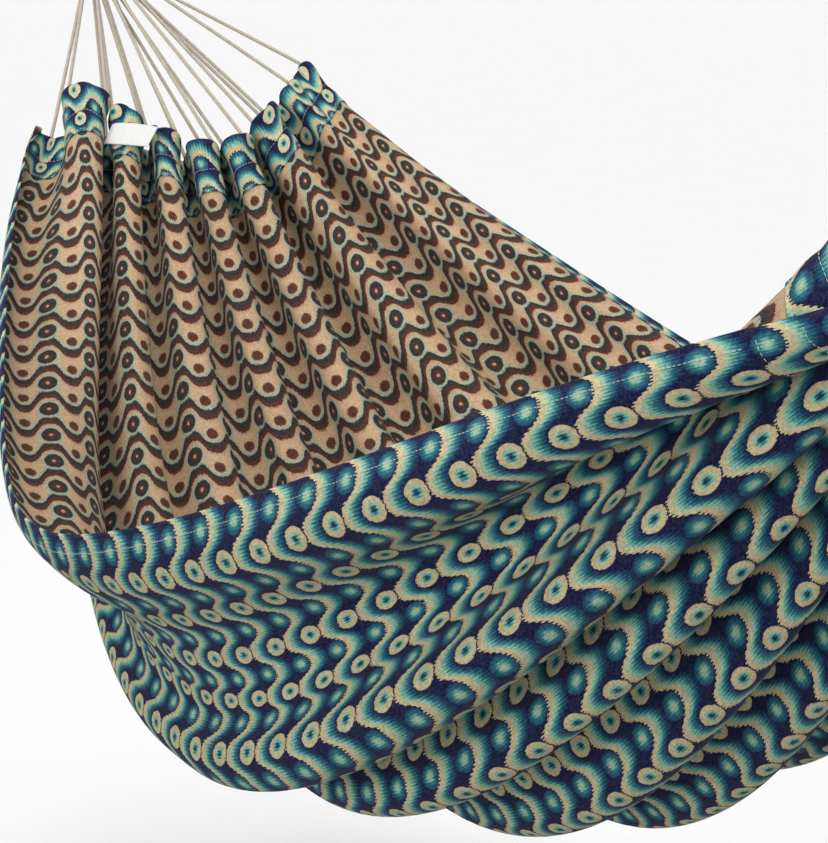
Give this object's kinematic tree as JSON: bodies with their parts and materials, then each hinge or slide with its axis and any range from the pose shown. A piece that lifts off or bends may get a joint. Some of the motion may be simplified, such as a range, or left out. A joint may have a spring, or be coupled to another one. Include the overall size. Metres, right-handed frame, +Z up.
{
  "type": "hammock",
  "caption": "Cloth hammock with gathered, hemmed ends on doubled cotton clew cords, bound rope eyes and hanging loops; the woven bed hangs open in long folds and swings about its hang-line.",
  "frame": {"origin": "centre of the hook in the head hanging loop", "axes": "+X along the hang-line to the foot loop, +Z up, near edge of the bed towards -Y"},
  "size_m": [2.6258, 0.9081, 0.9242],
  "materials": {
    "woven_cloth": "figured cotton weave, navy, teal and cream outside, beige and charcoal inside",
    "tag_tape": "plain white woven tape",
    "cotton_cord": "twisted cream cotton",
    "cotton_rope": "twisted cream cotton rope"
  },
  "bodies": {
    "hanging_loops": {"head_hanging_loop": "cotton_rope", "foot_hanging_loop": "cotton_rope"},
    "hammock": {"bed_cloth": "woven_cloth", "head_hem": "woven_cloth", "foot_hem": "woven_cloth", "near_side_hem": "woven_cloth", "far_side_hem": "woven_cloth", "care_tag": "tag_tape", "head_cord_1": "cotton_cord", "head_cord_2": "cotton_cord", "head_cord_3": "cotton_cord", "head_cord_4": "cotton_cord", "head_cord_5": "cotton_cord", "head_cord_6": "cotton_cord", "head_cord_7": "cotton_cord", "head_cord_8": "cotton_cord", "head_cord_9": "cotton_cord", "foot_cord_1": "cotton_cord", "foot_cord_2": "cotton_cord", "foot_cord_3": "cotton_cord", "foot_cord_4": "cotton_cord", "foot_cord_5": "cotton_cord", "foot_cord_6": "cotton_cord", "foot_cord_7": "cotton_cord", "foot_cord_8": "cotton_cord", "foot_cord_9": "cotton_cord", "head_binding": "cotton_rope", "foot_binding": "cotton_rope", "head_clew_eye": "cotton_rope", "foot_clew_eye": "cotton_rope"}
  },
  "joints": [
    {"name": "swing", "type": "hinge", "parent": "hanging_loops", "child": "hammock", "pos_m": [0.0576, 0, -0.03871], "axis": [1, 0, 0], "range_deg": [-30, 30]}
  ]
}
